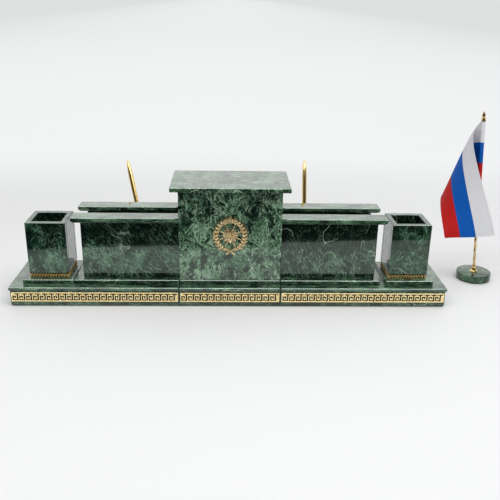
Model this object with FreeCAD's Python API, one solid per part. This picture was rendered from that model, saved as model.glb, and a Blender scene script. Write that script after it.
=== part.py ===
import FreeCAD, Part
import math
import os

V = FreeCAD.Vector

# Polished stone desk set with brass trim: a plinth in three modules carries a tower between two
# letter racks and two square cups, two swivel pens stand behind the racks, and a small flag stands
# beside them. Millimetres, X along the plinth, Y to the back, Z up. The origin lies on the desk,
# under the middle of the plinth.

# Plinth modules
base_depth = 117.0
centre_width = 166.6
seam = 0.3                   # glue line between two modules
felt_thick = 1.0
felt_inset = 6.0
plinth_low_thick = 27.2
plinth_top_thick = 5.6
plinth_lip = 2.0             # the top slab stands out over the low one, at the front and the ends
foot_chamfer = 2.0
edge_chamfer = 0.8           # bevel along the upper edges of the slabs

# Brass strip with a running key pattern, let into the front of each module
strip_height = 16.5
strip_rise = 7.4             # from the low slab's underside to the strip
strip_thick = 2.0
strip_groove = 1.4
strip_end_gap = 1.6
strip_clear = 0.1
key_pitch = 11.3             # wanted width of one key, rounded to fill the strip
key_depth = 1.1
key_end = 1.8                # plain brass left at each end of the strip
key_stem_share = 0.07        # half a stem, as a share of the pitch
key_reach_share = 0.25       # how far a key's hollow reaches to the left of its stem
key_columns_share = (-0.08, 0.10, 0.28, 0.41, 0.62)
key_rows_share = (0.13, 0.25, 0.36, 0.50, 0.64, 0.75, 0.88)

# Plates of the second step
plate_thick = 7.2
plate_setback = 15.8
plate_back_setback = 3.0
plate_end_setback = 20.0
cup_plate_width = {"left": 83.5, "right": 80.0}
cup_plate_depth = 88.0
plate_gap = {"left": 0.4, "right": 10.0}

# Letter racks: two upright panels, each under a capping rail
rack_length = 159.3
cup_gap = 23.6               # from the panels to the cup
panel_thick = 16.0
panel_height = 95.0
front_panel_setback = 31.4
back_panel_setback = 7.4
rail_thick = 9.0
rail_over = 6.8              # the rail stands out past both faces of its panel
rail_end_over = 14.3
rail_chamfer = 3.6

# Tower
tower_setback = 16.8
tower_back_setback = 12.2
tower_wall = 15.0
tower_height = 153.4
cap_thick = 7.2
cap_over = 12.2

# Wreath ornament on the tower
emblem_width = 61.0
emblem_height = 66.0
emblem_rise = 79.0           # from the tower's foot to the middle of the ornament
emblem_plate = 1.6
emblem_rim = 2.1             # leaf tips stand out past the oval plate
leaf_pairs = 9
leaf_length = 9.0
leaf_width = 4.4
leaf_rise = 2.0
leaf_sink = 0.4
leaf_root = 0.3              # from the wreath's middle line to a leaf's root
leaf_splay = 36.0
wreath_open = 14.0           # angle left free at the top, each side of the middle
wreath_foot = 40.0           # angle left free at the bow, each side of the middle
wreath_inset = 5.4           # from the plate's rim to the wreath's middle line
petal_count = 8
petal_length = 11.5
petal_width = 5.4
boss_radius = 3.4
boss_rise = 3.0
boss_sides = 8
oval_sides = 40
bow_length = 12.0
bow_width = 5.6
tail_length = 10.0
knot_length = 6.4
knot_width = 5.2
bow_drop_share = 0.80        # height of the bow's knot below the middle, share of the plate's half height
leaf_belly_share = 0.45      # where a leaf is widest, as a share of its length
petal_belly_share = 0.64
half_share = 0.5

# Square cups
cup_side = 65.0
cup_wall = 8.5
cup_height = 87.6
cup_floor_thick = 8.0
cup_setback = 28.9
cup_end_setback = 28.5
foot_height = 6.5
foot_inset = 2.2
band_thick = 1.5
band_height = 5.0
band_bevel = 0.6

# Ledge behind each rack, which carries a swivel pen
ledge_width = 112.0
ledge_depth = 82.0
ledge_centre = 150.0
pen_place = {"left": -158.5, "right": 138.3}
pen_back = 53.5              # from the plinth's back face to the swivel's axis
pen_tilt_angle = {"left": 30.7, "right": 28.0}
pen_turn_angle = {"left": 26.5, "right": -1.9}

# Swivel: turned foot, fork, pin and funnel
foot_radius = 13.0
foot_rim = 3.4
foot_waist = 7.5
foot_tall = 10.0
stud_radius = 3.0
stud_tall = 2.6
fork_reach = 8.0
fork_thick = 3.0
fork_clear = 0.3
pivot_rise = 23.8            # from the ledge's top to the tilting pin
ear_thick = 2.4
ear_radius = 4.8
tongue_thick = 7.6
tongue_radius = 5.0
side_clear = 0.2
pin_radius = 1.5
pin_proud = 0.6
run_clear = 0.05
funnel_start = 8.0           # from the pin to the turned part
funnel_mouth = 8.6
funnel_length = 38.0
funnel_flare = 4.0
funnel_lip = 1.4
funnel_wall = 0.9
funnel_clear = 0.45
funnel_floor = 5.6           # from the turned part's foot to the pen's seat
relief_radius = 1.2
relief_deep = 4.4

# Twist pen
pen_length = 138.0
pen_radius = 4.2
pen_nose = 8.0
nose_radius = 2.4
pen_split = 66.0             # from the nose to the joint that twists
cap_radius = 4.35
tail_taper = 25.0
tail_radius = 1.6
spigot_radius = 3.2
spigot_length = 9.0
refill_radius = 1.2
refill_tip_radius = 0.55
refill_tip = 14.0
refill_back = 1.0            # the point rests this far inside the nose
refill_length = 98.0
refill_clear = 0.25
refill_travel = 3.0          # how far a twist of the cap pushes the point out
seat_gap = 0.3               # from the pen's nose to its seat in the funnel

# Flag stand
flag_gap = 59.7              # from the plinth's end to the stand
flag_back = 10.0             # from the plinth's back face to the middle of the stand
disc_radius = 30.3
disc_thick = 13.0
flag_lean_angle = 4.35
pole_radius = 2.5
pole_length = 281.3
pole_socket = 9.0
pole_plain = 13.0            # round length above the disc, before the twist starts
twist_length = 161.0
twist_turns = 2
twist_steps = 18             # cross-sections in one turn
twist_corner_share = 0.98    # corner of the twisted square, as a share of the pole's radius
ferrule_foot = 6.6
ferrule_neck = 3.9
ferrule_tall = 12.0
ferrule_rim = 3.0
finial_collar = 4.2
finial_collar_tall = 1.6
finial_neck = 2.2
finial_neck_tall = 1.6
finial_leaf = 4.0
finial_blade = 2.4
finial_leaf_tall = 8.7
finial_socket = 2.4

# Flag cloth: a sleeve on the pole, one fold behind it and the free end hanging in front
flag_hoist = 108.0
flag_fly = 205.0
sleeve_clear = 0.35
cloth_thick = 0.8
sleeve_below_finial = 3.0
fold_radius = 3.0
bend_share = 0.45            # most of a short stretch of cloth that its bend may use up
fold_drop_share = (0.005, 0.068, 0.263, 0.495, 0.709, 0.990)
fold_across_share = (-0.030, -0.064, -0.133, -0.204, -0.276, -0.334)
fold_back_share = (0.010, 0.020, 0.107, 0.166, 0.205, -0.127)
edge_drop_share = (0.005, 0.068, 0.263, 0.495, 0.709, 0.927)
edge_across_share = (-0.032, -0.059, -0.049, -0.010, 0.034, 0.077)
edge_back_share = (-0.010, -0.015, -0.039, -0.102, -0.156, -0.215)
hem_across_share = (-0.254, -0.305)   # lower edge of the back part, in the sections below the sleeve
hem_back_share = (0.188, -0.121)

overrun = 2.0                # how far a cutting solid passes the face that it cuts
touch = 0.001                # two places nearer than this are one

# Levels and lines that several pieces share
front = -base_depth / 2
back = base_depth / 2
low_level = felt_thick + plinth_low_thick
plinth_level = low_level + plinth_top_thick
plate_level = plinth_level + plate_thick
rail_level = plate_level + panel_height
cup_level = plate_level + foot_height
tower_level = plate_level + tower_height
plate_front = front + plate_setback
plate_back = back - plate_back_setback
half_centre = centre_width / 2
inner_end = half_centre + seam
rack_end = inner_end + rack_length
cup_inner = rack_end + cup_gap
cup_outer = cup_inner + cup_side
half_length = cup_outer + cup_end_setback
hand = {"left": -1, "right": 1}


def save(name, shape):
    shape.exportStep("parts/" + name + ".step")


def box(x, y, z):
    return Part.makeBox(x[1] - x[0], y[1] - y[0], z[1] - z[0], V(x[0], y[0], z[0]))


def on_side(side, near, far):
    return tuple(sorted((hand[side] * near, hand[side] * far)))


def bevel(shape, size, wanted):
    return shape.makeChamfer(size, [edge for edge in shape.Edges if wanted(edge.BoundBox)])


def bevel_top(shape):
    top = shape.BoundBox.ZMax
    return bevel(shape, edge_chamfer, lambda b: b.ZMin > top - touch)


def profile(*steps):
    # A point ends a straight edge, and a pair of points is an arc's middle and end
    edges = []
    here = steps[0]
    for step in steps[1:]:
        if isinstance(step, tuple):
            edges.append(Part.Arc(here, step[0], step[1]).toShape())
            here = step[1]
        else:
            edges.append(Part.makeLine(here, step))
            here = step
    edges.append(Part.makeLine(here, steps[0]))
    return Part.Face(Part.Wire(edges))


def rz(radius, height):
    return V(radius, 0, height)


def turned(*steps):
    return profile(*steps).revolve(V(), V(0, 0, 1), 360)


def rod(radius, low, high):
    return Part.makeCylinder(radius, high - low, V(0, 0, low))


def faceted(rings):
    # A solid through closed rings of as many points each, in flat triangles between one ring and the next
    faces = [Part.Face(Part.makePolygon(ring + ring[:1])) for ring in (rings[0], rings[-1])]
    for ring, following in zip(rings, rings[1:]):
        for number in range(len(ring)):
            a, b = ring[number - 1], ring[number]
            c, d = following[number], following[number - 1]
            faces.append(Part.Face(Part.makePolygon([a, b, c, a])))
            faces.append(Part.Face(Part.makePolygon([a, c, d, a])))
    shell = Part.Shell(faces)
    shell.sewShape()
    solid = Part.Solid(shell)
    return solid if solid.Volume > 0 else solid.reversed()


# Plinth: felt, low slab with a groove, top slab and brass strip

def module_span(name):
    if name == "centre":
        return (-half_centre, half_centre)
    return on_side(name, inner_end, half_length)


def low_span(name):
    if name == "centre":
        return module_span(name)
    return on_side(name, inner_end, half_length - plinth_lip)


def strip_span(name):
    x = low_span(name)
    return (x[0] + strip_end_gap, x[1] - strip_end_gap)


strip_low = felt_thick + strip_rise
strip_back = front + plinth_lip + strip_groove


def plinth_low(name):
    slab = box(low_span(name), (front + plinth_lip, back), (felt_thick, low_level))
    slab = bevel(slab, foot_chamfer, lambda b: b.ZMax < felt_thick + touch and b.XLength > b.YLength)
    x = strip_span(name)
    groove = box((x[0] - strip_clear, x[1] + strip_clear), (front, strip_back),
                 (strip_low - strip_clear, strip_low + strip_height + strip_clear))
    return slab.cut(groove)


def plinth_top(name):
    return bevel_top(box(module_span(name), (front, back), (low_level, plinth_level)))


def key_hollow(pitch):
    left, curl, inner, outer, following = key_columns_share
    floor, hook, hook_top, curl_top, bar, bar_top, border = key_rows_share
    stem = key_stem_share
    outline = ((stem, border), (1 - stem, border), (1 - stem, bar_top), (following, bar_top),
               (following, floor), (-key_reach_share, floor), (-key_reach_share, bar), (inner, bar),
               (inner, hook_top), (curl, hook_top), (curl, curl_top), (left, curl_top),
               (left, hook), (outer, hook), (outer, bar_top), (stem, bar_top))
    points = [V(u * pitch, 0, v * strip_height) for u, v in outline]
    return profile(*points).extrude(V(0, key_depth + overrun, 0))


def key_strip(name):
    x = strip_span(name)
    face = strip_back - strip_thick
    plate = box(x, (face, strip_back), (strip_low, strip_low + strip_height))
    room = x[1] - x[0] - key_end - key_end
    count = max(1, round(room / key_pitch))
    pitch = room / (count + key_reach_share - key_stem_share)
    hollow = key_hollow(pitch)
    hollows = []
    for number in range(count):
        copy = hollow.copy()
        copy.translate(V(x[0] + key_end + (key_reach_share + number) * pitch, face - overrun, strip_low))
        hollows.append(copy)
    return plate.cut(Part.makeCompound(hollows))


def felt_sheet(x, y):
    return box((x[0] + felt_inset, x[1] - felt_inset), (y[0] + felt_inset, y[1] - felt_inset),
               (0, felt_thick))


# Letter rack on its plate

plates_end = half_length - plate_end_setback
front_panel = front + front_panel_setback
back_panel = back - back_panel_setback - panel_thick


def rack_plate(side):
    end = plates_end - cup_plate_width[side] - plate_gap[side]
    return bevel_top(box(on_side(side, inner_end, end), (plate_front, plate_back),
                         (plinth_level, plate_level)))


def rack_panel(side, y):
    return box(on_side(side, inner_end, rack_end), (y, y + panel_thick), (plate_level, rail_level))


def rack_rail(side, y):
    rail = box(on_side(side, inner_end, rack_end + rail_end_over),
               (y - rail_over, y + panel_thick + rail_over), (rail_level, rail_level + rail_thick))
    inner = hand[side] * inner_end
    rail = bevel(rail, rail_chamfer, lambda b: b.ZMax < rail_level + touch
                 and max(abs(b.XMin - inner), abs(b.XMax - inner)) > touch)
    return bevel_top(rail)


# Square cup of four walls and a floor, on a recessed foot with a brass band

cup_front = front + cup_setback
cup_back = cup_front + cup_side


def cup_plate(side):
    x = on_side(side, plates_end - cup_plate_width[side], plates_end)
    return bevel_top(box(x, (plate_front, plate_front + cup_plate_depth), (plinth_level, plate_level)))


def cup_square(side, inset, z):
    x = on_side(side, cup_inner + inset, cup_outer - inset)
    return box(x, (cup_front + inset, cup_back - inset), z)


def cup_band(side):
    z = (plate_level, plate_level + band_height)
    outside = cup_square(side, foot_inset - band_thick, z)
    outside = bevel(outside, band_bevel, lambda b: b.ZLength < touch)
    return outside.cut(cup_square(side, foot_inset, (z[0] - overrun, z[1] + overrun)))


def cup_faces(side):
    x = on_side(side, cup_inner, cup_outer)
    z = (cup_level, cup_level + cup_height)
    near = box(x, (cup_front, cup_front + cup_wall), z)
    far = box(x, (cup_back - cup_wall, cup_back), z)
    near = bevel(near, edge_chamfer, lambda b: b.YMax < cup_front + touch)
    far = bevel(far, edge_chamfer, lambda b: b.YMin > cup_back - touch)
    return Part.makeCompound([near, far])


def cup_sides(side):
    walls = []
    for near, far in ((cup_inner, cup_inner + cup_wall), (cup_outer, cup_outer - cup_wall)):
        wall = box(on_side(side, near, far), (cup_front + cup_wall, cup_back - cup_wall),
                   (cup_level, cup_level + cup_height))
        face = hand[side] * near
        walls.append(bevel(wall, edge_chamfer, lambda b: abs(b.XMin - face) + abs(b.XMax - face) < touch
                           and b.YLength > b.ZLength))
    return Part.makeCompound(walls)


# Tower of four upright slabs under a cap

tower_front = front + tower_setback
tower_back = back - tower_back_setback


def tower_face(y):
    return box((-half_centre, half_centre), (y, y + tower_wall), (plate_level, tower_level))


def tower_sides():
    y = (tower_front + tower_wall, tower_back - tower_wall)
    z = (plate_level, tower_level)
    return Part.makeCompound([box((-half_centre, tower_wall - half_centre), y, z),
                              box((half_centre - tower_wall, half_centre), y, z)])


def tower_cap():
    reach = half_centre + cap_over
    return bevel_top(box((-reach, reach), (tower_front - cap_over, tower_back + cap_over),
                         (tower_level, tower_level + cap_thick)))


def tower_plate():
    return bevel_top(box((-half_centre, half_centre), (plate_front, plate_back),
                         (plinth_level, plate_level)))


# Ornament: an oval plate with a rosette inside a wreath tied with a bow

def leaf(length, width, belly_share):
    belly = belly_share * length
    root = V(0, 0, -leaf_sink)
    tip = V(length, 0, -leaf_sink)
    left = V(belly, width / 2, -leaf_sink)
    right = V(belly, -width / 2, -leaf_sink)
    crest = V(belly, 0, leaf_rise)
    rings = ((root, left, tip, right), (root, left, crest), (left, tip, crest), (tip, right, crest),
             (right, root, crest))
    solid = Part.Solid(Part.Shell([Part.Face(Part.makePolygon(ring + (ring[0],))) for ring in rings]))
    return solid if solid.Volume > 0 else solid.reversed()


def laid(shape, start, turn, x, y):
    shape.translate(V(start, 0, 0))
    shape.rotate(V(), V(0, 0, 1), turn)
    shape.translate(V(x, y, emblem_plate))
    return shape


def oval(half_x, half_y, level, sides):
    turns = [math.tau * number / sides for number in range(sides)]
    return [V(half_x * math.cos(turn), half_y * math.sin(turn), level) for turn in turns]


def emblem():
    half_x = emblem_width / 2 - emblem_rim
    half_y = emblem_height / 2 - emblem_rim
    ring_x = half_x - wreath_inset
    ring_y = half_y - wreath_inset
    plate = profile(*oval(half_x, half_y, 0, oval_sides)).extrude(V(0, 0, emblem_plate))
    pieces = []
    sweep = 180 - wreath_open - wreath_foot
    for number in range(leaf_pairs):
        angle = math.radians(wreath_foot - 90 + sweep * number / (leaf_pairs - 1))
        x, y = ring_x * math.cos(angle), ring_y * math.sin(angle)
        heading = math.degrees(math.atan2(ring_y * math.cos(angle), -ring_x * math.sin(angle)))
        for splay in (-leaf_splay, leaf_splay):
            for turn, place in ((heading + splay, x), (180 - heading - splay, -x)):
                single = leaf(leaf_length, leaf_width, leaf_belly_share)
                pieces.append(laid(single, leaf_root, turn, place, y))
    for number in range(petal_count):
        turn = 360 * number / petal_count
        pieces.append(laid(leaf(petal_length, petal_width, petal_belly_share), leaf_root, turn, 0, 0))
    shoulder = emblem_plate + boss_rise / 2
    pieces.append(faceted([oval(radius, radius, level, boss_sides) for radius, level in (
        (boss_radius, 0), (boss_radius, shoulder), (boss_radius / 2, emblem_plate + boss_rise))]))
    drop = -bow_drop_share * half_y
    for turn, length in ((0, bow_length), (180, bow_length), (-50, tail_length), (-130, tail_length)):
        pieces.append(laid(leaf(length, bow_width, petal_belly_share), leaf_root, turn, 0, drop))
    pieces.append(laid(leaf(knot_length, knot_width, half_share), -knot_length / 2, 90, 0, drop))
    ornament = plate.multiFuse(pieces).removeSplitter()
    ornament.rotate(V(), V(1, 0, 0), 90)
    ornament.translate(V(0, tower_front, plate_level + emblem_rise))
    return ornament


# Pen ledge and swivel pen; these pieces are drawn upright about the tilting pin, then leaned and turned

def pen_ledge(side):
    middle = hand[side] * ledge_centre
    return bevel_top(box((middle - ledge_width / 2, middle + ledge_width / 2), (back, back + ledge_depth),
                         (felt_thick, plinth_level)))


def upright(shape, side):
    shape.rotate(V(), V(0, 0, 1), pen_turn_angle[side])
    shape.translate(V(pen_place[side], back + pen_back, plinth_level))
    return shape


def leaned(shape, side):
    shape.rotate(V(), V(1, 0, 0), -pen_tilt_angle[side])
    shape.translate(V(0, 0, pivot_rise))
    return upright(shape, side)


def pen_foot():
    top = foot_tall + stud_tall
    return turned(rz(0, 0), rz(foot_radius, 0), rz(foot_radius, foot_rim), rz(foot_waist, foot_rim),
                  rz(foot_waist, foot_tall), rz(stud_radius, foot_tall), rz(stud_radius, top), rz(0, top))


def round_lug(radius, low, x):
    # A plate across X, from a flat lower end up to a round end about the pin
    face = profile(V(x[0], -radius, low), V(x[0], -radius, 0), (V(x[0], 0, radius), V(x[0], radius, 0)),
                   V(x[0], radius, low))
    return face.extrude(V(x[1] - x[0], 0, 0))


def cross_rod(radius, half):
    return Part.makeCylinder(radius, half + half, V(-half, 0, 0), V(1, 0, 0))


ear_inner = tongue_thick / 2 + side_clear
ear_outer = ear_inner + ear_thick


def pen_fork():
    low = foot_tall + fork_clear
    plate = box((-ear_outer, ear_outer), (-fork_reach, fork_reach), (low, low + fork_thick))
    ears = [round_lug(ear_radius, low + fork_thick / 2 - pivot_rise, x)
            for x in ((ear_inner, ear_outer), (-ear_outer, -ear_inner))]
    for ear in ears:
        ear.translate(V(0, 0, pivot_rise))
    hole = cross_rod(pin_radius, ear_outer + overrun)
    hole.translate(V(0, 0, pivot_rise))
    fork = plate.multiFuse(ears).removeSplitter()
    return fork.cut(hole).cut(rod(stud_radius + run_clear, low - overrun, low + fork_thick + overrun))


def pen_pin():
    pin = cross_rod(pin_radius, ear_outer + pin_proud)
    pin.translate(V(0, 0, pivot_rise))
    return pin


def pen_funnel():
    top = funnel_start + funnel_length
    bore = pen_radius + funnel_clear
    seat = funnel_start + funnel_floor
    neck = bore + funnel_wall
    rim = top - funnel_lip
    shell = turned(rz(0, funnel_start), rz(neck, funnel_start), rz(neck, rim - funnel_flare),
                   rz(funnel_mouth, rim), rz(funnel_mouth, top), rz(0, top))
    half_tongue = tongue_thick / 2
    tongue = round_lug(tongue_radius, -funnel_start - funnel_floor / 2, (-half_tongue, half_tongue))
    tongue.rotate(V(), V(1, 0, 0), 180)
    body = shell.fuse(tongue).removeSplitter()
    return body.cut(rod(bore, seat, top + overrun)).cut(rod(relief_radius, seat - relief_deep, seat)).cut(
        cross_rod(pin_radius + run_clear, tongue_thick))


pen_start = funnel_start + funnel_floor + seat_gap


def along_pen(shape):
    shape.translate(V(0, 0, pen_start))
    return shape


def pen_barrel():
    tip_bore = refill_tip_radius + refill_clear
    bore = refill_radius + refill_clear
    step = refill_back + refill_tip - refill_travel - refill_clear
    spigot_top = pen_split + spigot_length
    barrel = turned(rz(tip_bore, 0), rz(nose_radius, 0), rz(nose_radius, pen_nose),
                    rz(pen_radius, pen_nose), rz(pen_radius, pen_split), rz(spigot_radius, pen_split),
                    rz(spigot_radius, spigot_top), rz(bore, spigot_top), rz(bore, step), rz(tip_bore, step))
    return along_pen(barrel)


def pen_cap():
    low = pen_split + seat_gap
    spigot = spigot_radius + run_clear
    spigot_top = pen_split + spigot_length + seat_gap
    bore = refill_radius + refill_clear
    bore_top = refill_back + refill_length + refill_clear
    cap = turned(rz(spigot, low), rz(cap_radius, low), rz(cap_radius, pen_length - tail_taper),
                 rz(tail_radius, pen_length), rz(0, pen_length), rz(0, bore_top), rz(bore, bore_top),
                 rz(bore, spigot_top), rz(spigot, spigot_top))
    return along_pen(cap)


def pen_refill():
    shoulder = refill_back + refill_tip
    top = refill_back + refill_length
    refill = turned(rz(0, refill_back), rz(refill_tip_radius, refill_back), rz(refill_tip_radius, shoulder),
                    rz(refill_radius, shoulder), rz(refill_radius, top), rz(0, top))
    return along_pen(refill)


# Flag stand; the pole's pieces are drawn upright from the disc's top, then leaned

disc_level = felt_thick + disc_thick
flag_x = half_length + flag_gap + disc_radius


def on_stand(shape):
    shape.rotate(V(), V(0, 1, 0), -flag_lean_angle)
    shape.translate(V(flag_x, back + flag_back, disc_level))
    return shape


def flag_base():
    disc = rod(disc_radius, felt_thick, disc_level)
    disc.translate(V(flag_x, back + flag_back, 0))
    return disc.cut(on_stand(rod(pole_radius + run_clear, -pole_socket - seat_gap, overrun)))


def flag_felt():
    felt = rod(disc_radius - felt_inset, 0, felt_thick)
    felt.translate(V(flag_x, back + flag_back, 0))
    return felt


def flag_ferrule():
    bore = pole_radius + run_clear
    ferrule = on_stand(turned(rz(bore, -ferrule_rim), rz(ferrule_foot, -ferrule_rim),
                              rz(ferrule_foot, ferrule_rim), rz(ferrule_neck, ferrule_rim),
                              rz(ferrule_neck, ferrule_tall), rz(bore, ferrule_tall)))
    reach = (-disc_radius, disc_radius)
    below = box(reach, reach, (disc_level - ferrule_tall, disc_level))
    below.translate(V(flag_x, back + flag_back, 0))
    return ferrule.cut(below)


def twisted_square(low, high):
    corner = pole_radius * twist_corner_share
    steps = twist_turns * twist_steps
    rings = []
    for step in range(steps + 1):
        start = -math.tau * step / twist_steps
        height = low + (high - low) * step / steps
        turns = [start + math.tau * quarter / 4 for quarter in range(4)]
        rings.append([V(corner * math.cos(turn), corner * math.sin(turn), height) for turn in turns])
    return faceted(rings)


def flag_pole():
    twist_end = pole_plain + twist_length
    lower = rod(pole_radius, -pole_socket, pole_plain)
    upper = rod(pole_radius, twist_end, pole_length)
    return on_stand(lower.multiFuse([twisted_square(pole_plain, twist_end), upper]))


def flag_finial():
    low = pole_length - finial_socket
    collar = pole_length + finial_collar_tall
    neck = collar + finial_neck_tall
    spear = [V(finial_leaf, 0, neck + finial_leaf_tall / 3), V(0, 0, neck + finial_leaf_tall),
             V(-finial_leaf, 0, neck + finial_leaf_tall / 3), V(0, 0, collar)]
    blade = profile(*spear).extrude(V(0, finial_blade, 0))
    blade.translate(V(0, -finial_blade / 2, 0))
    stem = turned(rz(pole_radius, low), rz(finial_collar, low), rz(finial_collar, collar),
                  rz(finial_neck, collar), rz(finial_neck, neck), rz(0, neck), rz(0, pole_length),
                  rz(pole_radius, pole_length))
    return on_stand(stem.fuse(blade).removeSplitter())


sleeve_top = pole_length - finial_socket - sleeve_below_finial
sleeve_bore = pole_radius + sleeve_clear


def cloth_section(number):
    # A level line across the cloth: out from the sleeve, round the fold and forward to the free edge
    def at(across, behind, drop):
        return V(0, 0, sleeve_top) + V(across, behind, -drop) * flag_fly
    fold = at(fold_across_share[number], fold_back_share[number], fold_drop_share[number])
    edge = at(edge_across_share[number], edge_back_share[number], edge_drop_share[number])
    below = number - len(fold_drop_share) + len(hem_across_share)
    start = V(0, 0, fold.z) + V(fold.x, fold.y, 0).normalize() * (sleeve_bore + cloth_thick / 2)
    if below >= 0:
        start = at(hem_across_share[below], hem_back_share[below], fold_drop_share[number])
    out = (fold - start).normalize()
    forward = (edge - fold).normalize()
    normal = out.cross(forward).normalize()
    half_turn = out.getAngle(forward) / 2
    shorter = min((fold - start).Length, (edge - fold).Length)
    radius = min(fold_radius, bend_share * shorter / math.tan(half_turn))
    reach = radius * math.tan(half_turn)
    bend_in = fold - out * reach
    bend_out = fold + forward * reach
    centre = bend_in + normal.cross(out) * radius
    crown = (fold - centre).normalize()

    def face(shift):
        side_out = normal.cross(out) * shift
        side_forward = normal.cross(forward) * shift
        return (start - side_out, bend_in - side_out, centre + crown * (radius + shift),
                bend_out - side_forward, edge - side_forward)
    return list(face(0)) + list(reversed(face(cloth_thick)))


def flag_cloth():
    sheet = faceted([cloth_section(number) for number in range(len(fold_drop_share))])
    sleeve = rod(sleeve_bore + cloth_thick, sleeve_top - flag_hoist, sleeve_top)
    bore = rod(sleeve_bore, sleeve_top - flag_hoist - overrun, sleeve_top + overrun)
    return on_stand(sheet.fuse(sleeve).cut(bore))


def main():
    os.makedirs("parts", exist_ok=True)
    felts = []
    for name in ("left", "centre", "right"):
        save(name + "_plinth", plinth_low(name))
        save(name + "_plinth_top", plinth_top(name))
        save(name + "_key_strip", key_strip(name))
        felts.append(felt_sheet(low_span(name), (front + plinth_lip, back)))
    for side in ("left", "right"):
        save(side + "_rack_plate", rack_plate(side))
        save(side + "_rack_front", rack_panel(side, front_panel))
        save(side + "_rack_back", rack_panel(side, back_panel))
        save(side + "_front_rail", rack_rail(side, front_panel))
        save(side + "_back_rail", rack_rail(side, back_panel))
        save(side + "_cup_plate", cup_plate(side))
        save(side + "_cup_foot", cup_square(side, foot_inset, (plate_level, cup_level)))
        save(side + "_cup_band", cup_band(side))
        save(side + "_cup_faces", cup_faces(side))
        save(side + "_cup_sides", cup_sides(side))
        save(side + "_cup_floor", cup_square(side, cup_wall, (cup_level, cup_level + cup_floor_thick)))
        save(side + "_pen_ledge", pen_ledge(side))
        middle = hand[side] * ledge_centre
        felts.append(felt_sheet((middle - ledge_width / 2, middle + ledge_width / 2),
                                (back, back + ledge_depth)))
        save(side + "_pen_foot", upright(pen_foot(), side))
        save(side + "_pen_fork", upright(pen_fork(), side))
        save(side + "_pen_pin", upright(pen_pin(), side))
        save(side + "_pen_funnel", leaned(pen_funnel(), side))
        save(side + "_pen_barrel", leaned(pen_barrel(), side))
        save(side + "_pen_cap", leaned(pen_cap(), side))
        save(side + "_pen_refill", leaned(pen_refill(), side))
    save("base_felts", Part.makeCompound(felts))
    save("tower_plate", tower_plate())
    save("tower_front", tower_face(tower_front))
    save("tower_back", tower_face(tower_back - tower_wall))
    save("tower_sides", tower_sides())
    save("tower_cap", tower_cap())
    save("emblem", emblem())
    save("flag_base", flag_base())
    save("flag_felt", flag_felt())
    save("flag_ferrule", flag_ferrule())
    save("flag_pole", flag_pole())
    save("flag_finial", flag_finial())
    save("flag_cloth", flag_cloth())


main()
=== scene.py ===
import math

import bpy
from mathutils import Matrix, Vector


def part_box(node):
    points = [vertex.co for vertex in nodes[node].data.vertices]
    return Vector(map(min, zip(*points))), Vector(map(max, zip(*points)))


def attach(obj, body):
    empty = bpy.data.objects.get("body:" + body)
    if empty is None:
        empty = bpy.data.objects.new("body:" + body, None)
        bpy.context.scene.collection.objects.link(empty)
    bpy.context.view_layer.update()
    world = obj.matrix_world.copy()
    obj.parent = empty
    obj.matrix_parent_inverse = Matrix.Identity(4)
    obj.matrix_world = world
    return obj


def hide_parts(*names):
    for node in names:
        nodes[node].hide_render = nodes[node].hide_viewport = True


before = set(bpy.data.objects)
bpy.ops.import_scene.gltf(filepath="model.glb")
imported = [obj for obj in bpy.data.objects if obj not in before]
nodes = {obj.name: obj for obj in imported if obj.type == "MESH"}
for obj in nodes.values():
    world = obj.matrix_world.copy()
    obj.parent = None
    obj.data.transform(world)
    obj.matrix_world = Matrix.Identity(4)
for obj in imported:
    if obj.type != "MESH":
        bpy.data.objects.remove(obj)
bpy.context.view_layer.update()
mm = 0.001
touching = 0.002 * mm  # corners closer than this are one corner
print("frame loaded:", len(nodes), "nodes")


# Selecting, shaping and placing

def clearSelection():
    if bpy.context.mode != "OBJECT":
        bpy.ops.object.mode_set(mode="OBJECT")
    bpy.ops.object.select_all(action="DESELECT")


def pick(*pieces):
    clearSelection()
    for piece in pieces:
        piece.select_set(True)
    bpy.context.view_layer.objects.active = pieces[0]


def openEdit(piece):
    pick(piece)
    bpy.ops.object.mode_set(mode="EDIT")
    bpy.ops.mesh.select_mode(type="VERT")
    bpy.ops.mesh.select_all(action="SELECT")


def chooseVerts(piece, wanted):
    bpy.ops.mesh.select_mode(type="VERT")
    bpy.ops.mesh.select_all(action="DESELECT")
    bpy.ops.object.mode_set(mode="OBJECT")
    for vert in piece.data.vertices:
        vert.select = wanted(vert.co)
    bpy.ops.object.mode_set(mode="EDIT")


def chooseEdges(piece, level):
    # either the level edges or all the others
    bpy.ops.mesh.select_mode(type="EDGE")
    bpy.ops.mesh.select_all(action="DESELECT")
    bpy.ops.object.mode_set(mode="OBJECT")
    verts = piece.data.vertices
    for edge in piece.data.edges:
        first, second = (verts[number].co for number in edge.vertices)
        edge.select = (abs(first.z - second.z) < touching) == level
    bpy.ops.object.mode_set(mode="EDIT")


def applyModifier(piece, kind, **settings):
    pick(piece)
    modifier = piece.modifiers.new(kind.title(), kind)
    for key, value in settings.items():
        setattr(modifier, key, value)
    bpy.ops.object.modifier_apply(modifier=modifier.name)


def softenEdges(piece, width, segments, angle=30):
    applyModifier(piece, "BEVEL", width=width, segments=segments, limit_method="ANGLE",
                  angle_limit=math.radians(angle))


def smoothPiece(piece, angle=32):
    pick(piece)
    bpy.ops.object.shade_smooth_by_angle(angle=math.radians(angle))


def settle(piece, matrix=Matrix.Identity(4)):
    pick(piece)  # the place goes into the mesh, and the object stays at the origin
    piece.matrix_world = matrix @ piece.matrix_world
    bpy.ops.object.transform_apply(location=True, rotation=True, scale=True)
    return piece


def namePiece(piece, name):
    piece.name = name
    piece.data.name = name
    return piece


def copyPiece(piece, name):
    copy = piece.copy()
    copy.data = piece.data.copy()
    bpy.context.scene.collection.objects.link(copy)
    return namePiece(copy, name)


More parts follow.
